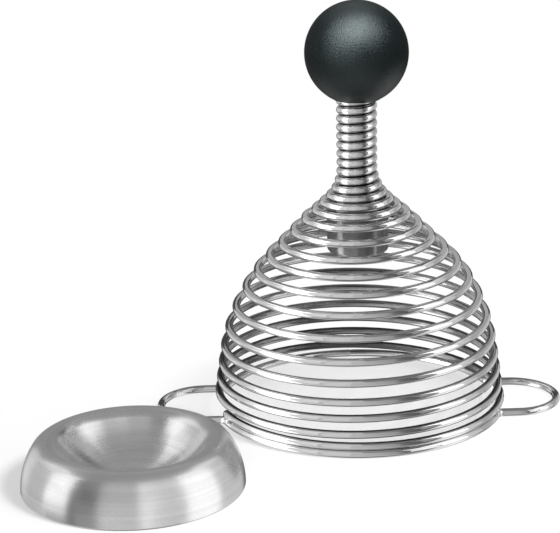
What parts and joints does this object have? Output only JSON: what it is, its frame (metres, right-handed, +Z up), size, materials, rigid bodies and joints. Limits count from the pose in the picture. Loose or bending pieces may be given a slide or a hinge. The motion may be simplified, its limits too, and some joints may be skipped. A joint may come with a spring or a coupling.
{
  "type": "spring nutcracker",
  "caption": "Bell-shaped coil spring on a wire foot with finger loops, a ball knob on a sprung striker that cracks a nut, and a loose pressed anvil dish.",
  "frame": {"origin": "on the table, at the centre of the foot ring and on the axis of the coil", "axes": "+Z up along the coil's axis towards the ball knob, +X towards the right finger loop, -Y towards the viewer of the picture, with the dish to the front left"},
  "size_m": [0.1559, 0.13, 0.1219],
  "materials": {
    "wire_steel": "polished",
    "turned_steel": "polished",
    "dish_steel": "satin",
    "knob_plastic": "satin",
    "bush_brass": "satin"
  },
  "bodies": {
    "cage": {"foot_ring": "wire_steel", "coil_spring": "wire_steel", "spot_welds": "wire_steel"},
    "plunger": {"ball_knob": "knob_plastic", "knob_insert": "bush_brass", "pull_stem": "turned_steel", "striker": "turned_steel"},
    "dish": {"anvil_dish": "dish_steel"}
  },
  "joints": [
    {"name": "pull", "type": "slide", "parent": "cage", "child": "plunger", "axis": [0, 0, 1], "range_m": [-0.028, 0.09], "stiffness_N_per_m": 61, "springref_m": 0.0093, "deforming": ["coil_spring"]},
    {"name": "dish_lift", "type": "slide", "parent": "cage", "child": "dish", "axis": [0, 0, 1], "range_m": [0, 0.1]}
  ]
}
